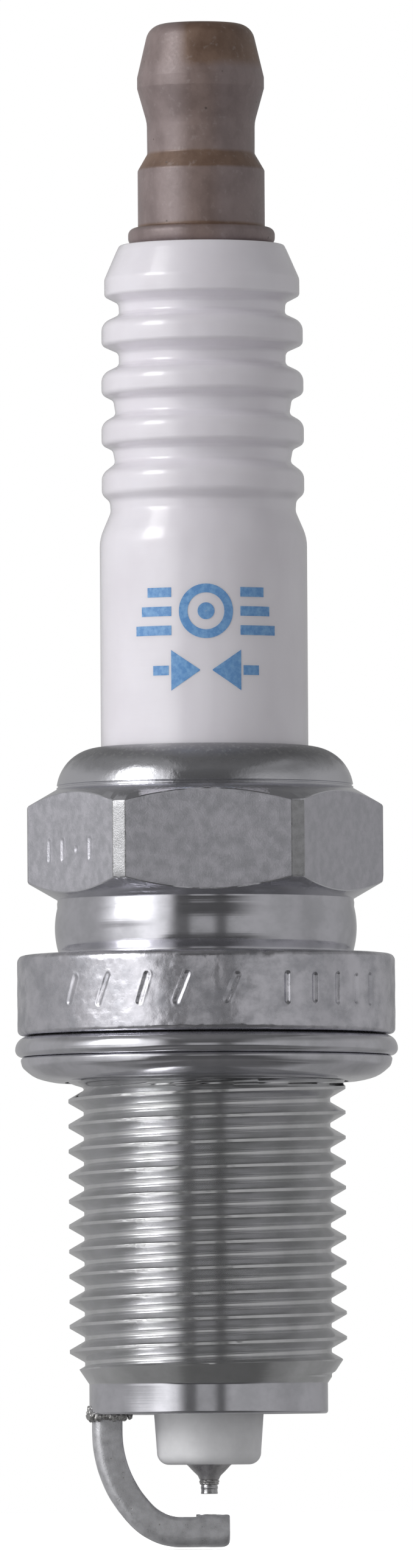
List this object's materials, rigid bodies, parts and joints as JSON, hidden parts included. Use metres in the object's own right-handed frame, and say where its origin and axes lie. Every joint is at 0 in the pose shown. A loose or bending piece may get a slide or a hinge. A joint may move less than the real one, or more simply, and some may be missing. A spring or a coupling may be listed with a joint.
{
  "type": "spark plug",
  "caption": "Resistor spark plug with fine-wire centre electrode, one bent ground electrode, ribbed white insulator, wrench hexagon, captive folded gasket and solid terminal stud.",
  "frame": {"origin": "centre of the gasket's lower sealing face, where it meets the cylinder head", "axes": "+Z along the plug's axis towards the terminal; a hexagon flat faces -Y; the ground electrode is welded on at -X"},
  "size_m": [0.0192, 0.0192, 0.0762],
  "materials": {
    "terminal_plating": "satin nickel plating, slightly mottled brown-grey",
    "glazed_alumina": "white glossy glaze on the exposed barrel, matt unglazed nose",
    "shell_plating": "bright plated steel, dull forged hexagon flats",
    "gasket_steel": "bright plated sheet steel, folded",
    "packing_wire": "plain steel wire and sheet",
    "talc": "pressed talc powder, matt",
    "conductive_glass": "copper-filled sealing glass, opaque",
    "resistor_mix": "carbon-black and glass resistor mix, matt",
    "nickel_alloy": "drawn nickel alloy, satin",
    "copper": "drawn copper, satin",
    "iridium": "ground iridium alloy",
    "strap_nickel": "dull nickel alloy strap with fine specks",
    "platinum": "ground platinum alloy chip",
    "weld_metal": "dark heat-tinted weld flash"
  },
  "bodies": {
    "plug": {"terminal_stud": "terminal_plating", "insulator": "glazed_alumina", "metal_shell": "shell_plating", "upper_packing_ring": "packing_wire", "lower_packing_ring": "packing_wire", "talc_filling": "talc", "seat_packing": "packing_wire", "upper_glass_seal": "conductive_glass", "resistor": "resistor_mix", "lower_glass_seal": "conductive_glass", "centre_electrode": "nickel_alloy", "copper_core": "copper", "iridium_tip": "iridium", "tip_weld": "weld_metal", "ground_electrode": "strap_nickel", "ground_chip": "platinum", "ground_weld": "weld_metal"},
    "gasket": {"gasket": "gasket_steel"}
  },
  "joints": [
    {"name": "gasket_turn", "type": "hinge", "parent": "plug", "child": "gasket", "pos_m": [0, 0, 0.0012], "axis": [0, 0, 1], "continuous": true}
  ]
}
